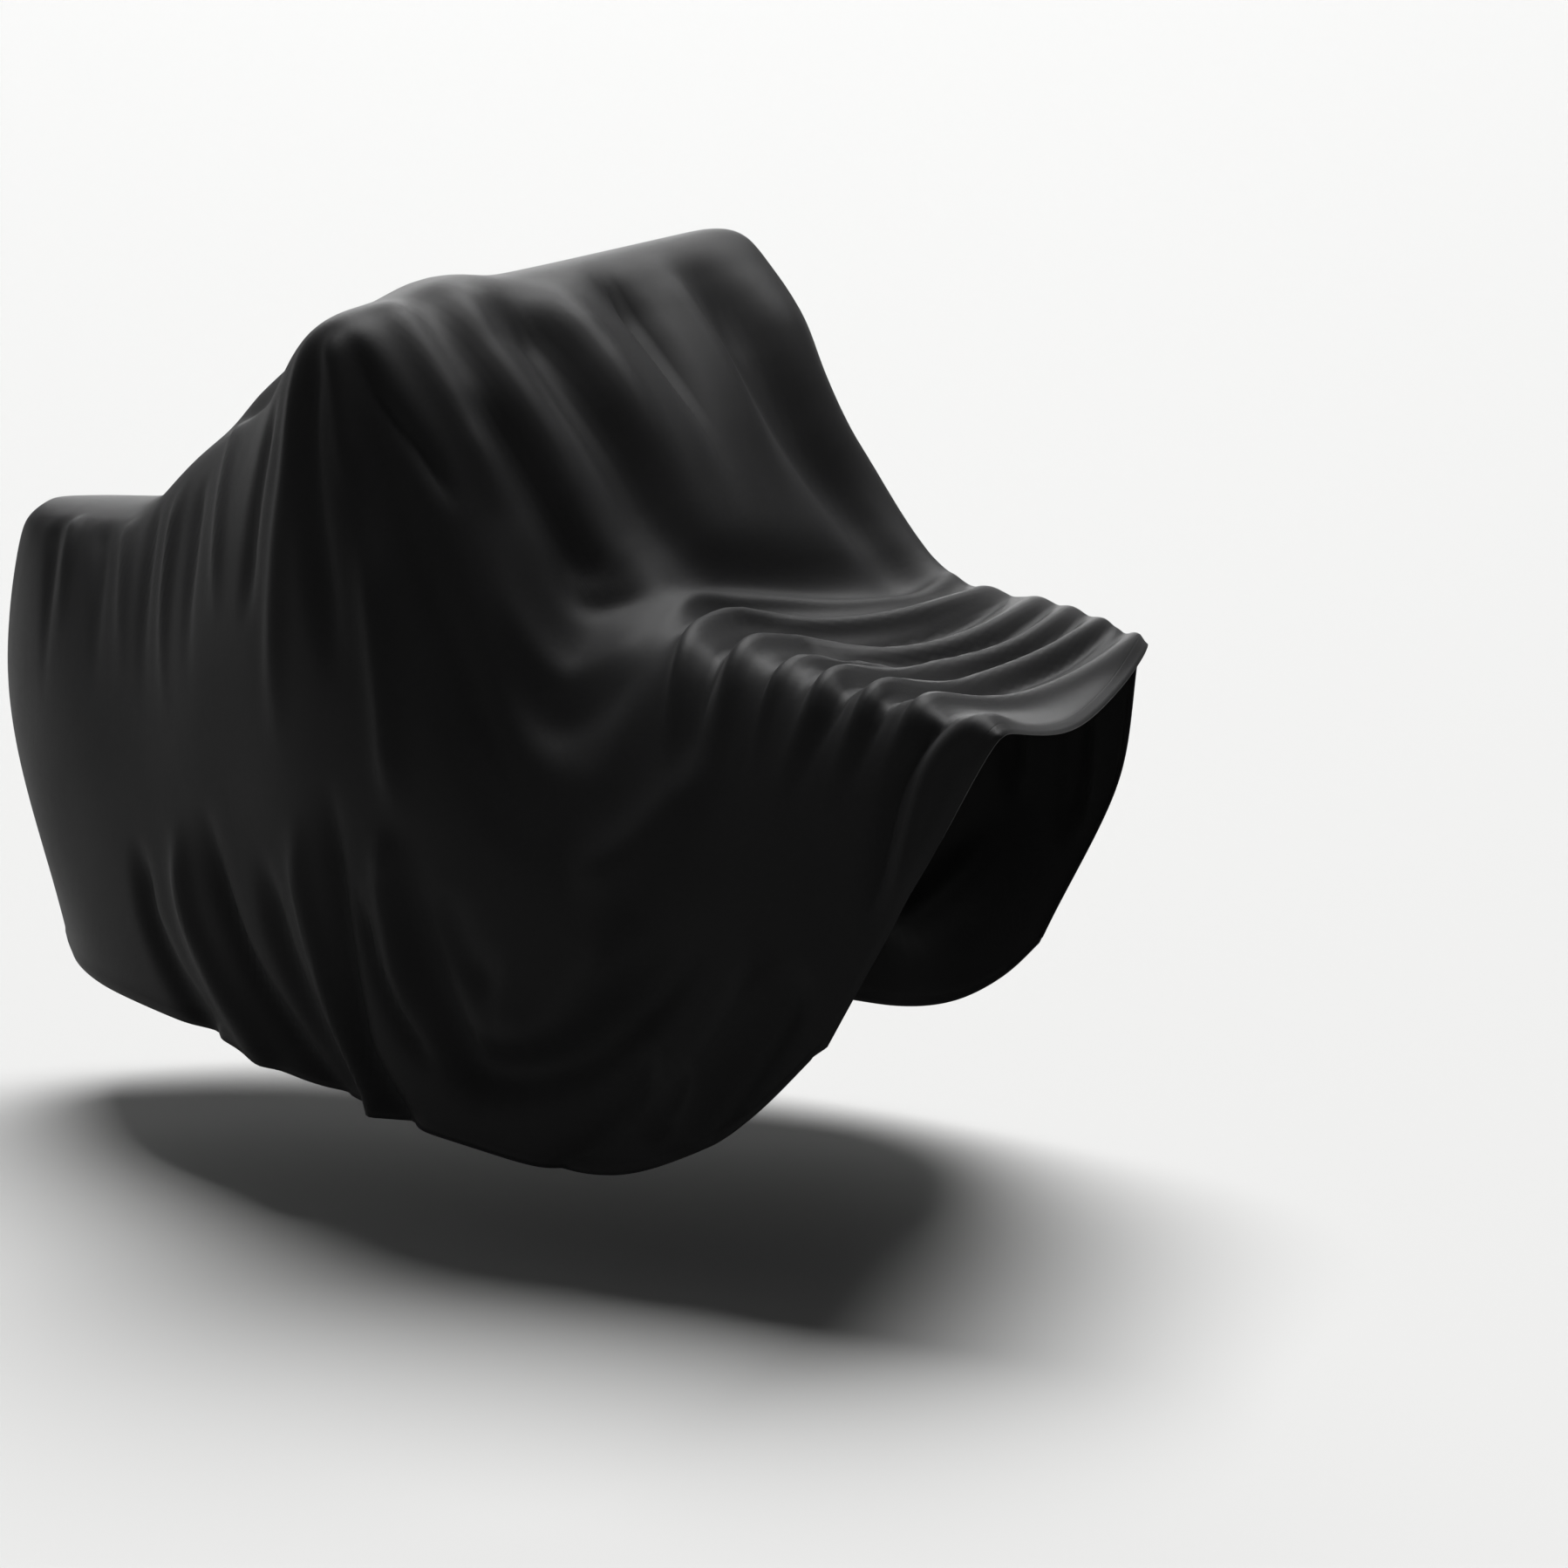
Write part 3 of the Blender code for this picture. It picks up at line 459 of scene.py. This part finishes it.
def cover_grid(along, down):
    """The cloth's outer points, with how far each lies along, across and from an open edge."""
    smooth = cloth_points(along, down)
    smooth[0] = (smooth[0] + smooth[0, ::-1]) / 2.0  # both sides meet at the rear end
    outward = np.cross(np.gradient(smooth, axis=0), np.gradient(smooth, axis=1))
    outward /= np.linalg.norm(outward, axis=2, keepdims=True) + 1e-12
    points = smooth.reshape(-1, 3)
    lift = np.zeros(len(points))
    for fold in all_folds():
        add_fold(lift, points, fold)
    lift = lift.reshape(smooth.shape[:2]) * ease(along / REAR_STRETCH_WITHOUT_FOLDS)[:, None]
    across = distance_run(smooth)
    from_side = np.minimum(across, across[:, -1:] - across)
    lengthwise = distance_run(smooth.transpose(1, 0, 2)).T
    from_front = lengthwise[-1:] - lengthwise
    lift -= CURL_DEPTH * ease(1.0 - from_front / CURL_WIDTH)
    from_edge = np.minimum(from_side, from_front)
    lift += HEM_STEP * ease((HEM_WIDTH - from_edge) / HEM_RAMP)
    return smooth + outward * lift[:, :, None], lengthwise, across, from_edge


def make_cover():
    """The cover as one sheet, with its lengths in metres as its knit map."""
    side, top = stretches(SIDE_CELLS), stretches(TOP_CELLS)
    down = np.concatenate([side[:-1], top, -side[-2::-1]])
    along = stretches(ALONG_CELLS)
    grid, lengthwise, across, from_edge = cover_grid(along, down)
    last_row, last_column = len(along) - 1, len(down) - 1
    sheet = bmesh.new()
    bmesh.ops.create_grid(sheet, x_segments=last_row, y_segments=last_column, size=1.0)
    knit_map = sheet.loops.layers.uv.new("knit")
    edge_distance = sheet.verts.layers.float.new("from_edge")
    cell = {}
    for vertex in sheet.verts:
        row = round((vertex.co.x + 1.0) / 2.0 * last_row)
        column = round((vertex.co.y + 1.0) / 2.0 * last_column)
        cell[vertex] = (row, column)
        vertex.co = grid[row, column]
        vertex[edge_distance] = from_edge[row, column]
    for face in sheet.faces:
        for loop in face.loops:
            place = cell[loop.vert]
            loop[knit_map].uv = (lengthwise[place], across[place])
    bmesh.ops.remove_doubles(sheet, verts=sheet.verts, dist=WELD_DISTANCE)
    mesh = bpy.data.meshes.new("cover cloth")
    sheet.to_mesh(mesh)
    sheet.free()
    mesh.shade_smooth()
    cover = bpy.data.objects.new("cover_cloth", mesh)
    bpy.context.scene.collection.objects.link(cover)
    thickness = cover.modifiers.new("cloth thickness", "SOLIDIFY")
    thickness.thickness = KNIT_THICKNESS
    thickness.offset = -1.0
    thickness.use_even_offset = True
    thickness.use_quality_normals = True
    return cover


class Value:
    """A number that varies over the surface, so that shader sums can be written as sums."""

    def __init__(self, shading, socket):
        self.shading, self.socket = shading, socket

    def sum_with(self, operation, *numbers):
        node = self.shading.node("ShaderNodeMath", {"operation": operation}, dict(enumerate(numbers)))
        return Value(self.shading, node.outputs[0])

    def __add__(self, other):
        return self.sum_with("ADD", self, other)

    def __sub__(self, other):
        return self.sum_with("SUBTRACT", self, other)

    def __rsub__(self, other):
        return self.sum_with("SUBTRACT", other, self)

    def __mul__(self, other):
        return self.sum_with("MULTIPLY", self, other)

    def __truediv__(self, other):
        return self.sum_with("DIVIDE", self, other)

    def __pow__(self, other):
        return self.sum_with("POWER", self, other)

    __radd__ = __add__
    __rmul__ = __mul__

    def clamped(self):
        return self.sum_with("MINIMUM", self.sum_with("MAXIMUM", self, 0.0), 1.0)

    def sine(self):
        return self.sum_with("SINE", self)

    def size(self):
        return self.sum_with("ABSOLUTE", self)


class Shading:
    """The nodes of one finish."""

    def __init__(self, name):
        self.material = bpy.data.materials.new(name)
        self.material.use_nodes = True
        self.tree = self.material.node_tree
        self.surface = self.tree.nodes["Principled BSDF"]

    def node(self, kind, settings, inputs):
        """A node of that kind, with its settings made first and then its inputs set or linked."""
        made = self.tree.nodes.new(kind)
        for name, setting in settings.items():
            setattr(made, name, setting)
        self.fill(made, inputs)
        return made

    def fill(self, node, inputs):
        for name, given in inputs.items():
            if isinstance(given, Value):
                given = given.socket
            if isinstance(given, bpy.types.NodeSocket):
                self.tree.links.new(given, node.inputs[name])
            else:
                node.inputs[name].default_value = given

    def value(self, node, output=0):
        return Value(self, node.outputs[output])


DEEPEST_BLACK, PALEST_BLACK = (0.0082, 0.0082, 0.0084, 1.0), (0.0112, 0.0112, 0.0115, 1.0)
WALE_PITCH, COURSE_PITCH, COURSE_STAGGER = 0.0011, 0.0009, 0.9  # the knit's columns and rows
BROAD_NOISE, FINE_NOISE = {"Scale": 9.0, "Detail": 3.0}, {"Scale": 140.0, "Detail": 4.0}
BROAD_TONE, FINE_TONE = 0.7, 0.3
STITCH_PITCH, STITCH_FROM_EDGE, STITCH_HALF_WIDTH = 0.0035, 0.0145, 0.0009
KNIT_RELIEF, FINE_RELIEF, BROAD_RELIEF, STITCH_RELIEF = 0.30, 0.8, 1.5, 1.2
BUMP = {"Strength": 0.35, "Distance": 0.0006}
ROUGHNESS, BROAD_ROUGHNESS, FINE_ROUGHNESS = 0.42, 0.08, 0.06
SATIN = {"Specular IOR Level": 0.038, "Sheen Weight": 0.02, "Sheen Roughness": 0.30}
MIX_FIRST, MIX_SECOND, MIX_RESULT = 6, 7, 2  # the colour sockets of a mix


def knit_finish():
    """Black stretch knit: fine wales and courses, a slightly uneven hand, and a stitched hem."""
    shading = Shading("black knit")
    knit = shading.node("ShaderNodeUVMap", {"uv_map": "knit"}, {})
    parts = shading.node("ShaderNodeSeparateXYZ", {}, {"Vector": knit.outputs["UV"]})
    lengthwise, across = shading.value(parts, "X"), shading.value(parts, "Y")
    wales = (lengthwise * (np.pi / WALE_PITCH)).sine().size()
    courses = (across * (np.pi / COURSE_PITCH) + wales * COURSE_STAGGER).sine().size()

    place = {"Vector": shading.node("ShaderNodeTexCoord", {}, {}).outputs["Object"]}
    unevenness = shading.value(shading.node("ShaderNodeTexNoise", {}, place | BROAD_NOISE))
    grain = shading.value(shading.node("ShaderNodeTexNoise", {}, place | FINE_NOISE))

    tone = (unevenness * BROAD_TONE + grain * FINE_TONE).clamped()
    colour = shading.node(
        "ShaderNodeMix",
        {"data_type": "RGBA"},
        {"Factor": tone, MIX_FIRST: DEEPEST_BLACK, MIX_SECOND: PALEST_BLACK},
    )
    edge = shading.node("ShaderNodeAttribute", {"attribute_name": "from_edge"}, {})
    from_edge = shading.value(edge, "Fac")
    on_seam = (1.0 - (from_edge - STITCH_FROM_EDGE).size() / STITCH_HALF_WIDTH).clamped()
    stitches = on_seam * (((lengthwise + across) * (np.pi / STITCH_PITCH)).sine().size() ** 0.5)

    knit_relief = wales * KNIT_RELIEF + courses * KNIT_RELIEF
    relief = knit_relief + grain * FINE_RELIEF + unevenness * BROAD_RELIEF - stitches * STITCH_RELIEF
    bump = shading.node("ShaderNodeBump", {}, {"Height": relief} | BUMP)
    shading.fill(
        shading.surface,
        {
            "Base Color": colour.outputs[2],
            "Roughness": ROUGHNESS + unevenness * BROAD_ROUGHNESS + grain * FINE_ROUGHNESS,
            "Normal": bump.outputs["Normal"],
        }
        | SATIN,
    )
    return shading.material


cover = make_cover()
cover.data.materials.append(knit_finish())
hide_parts("cover")
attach(cover, "root")
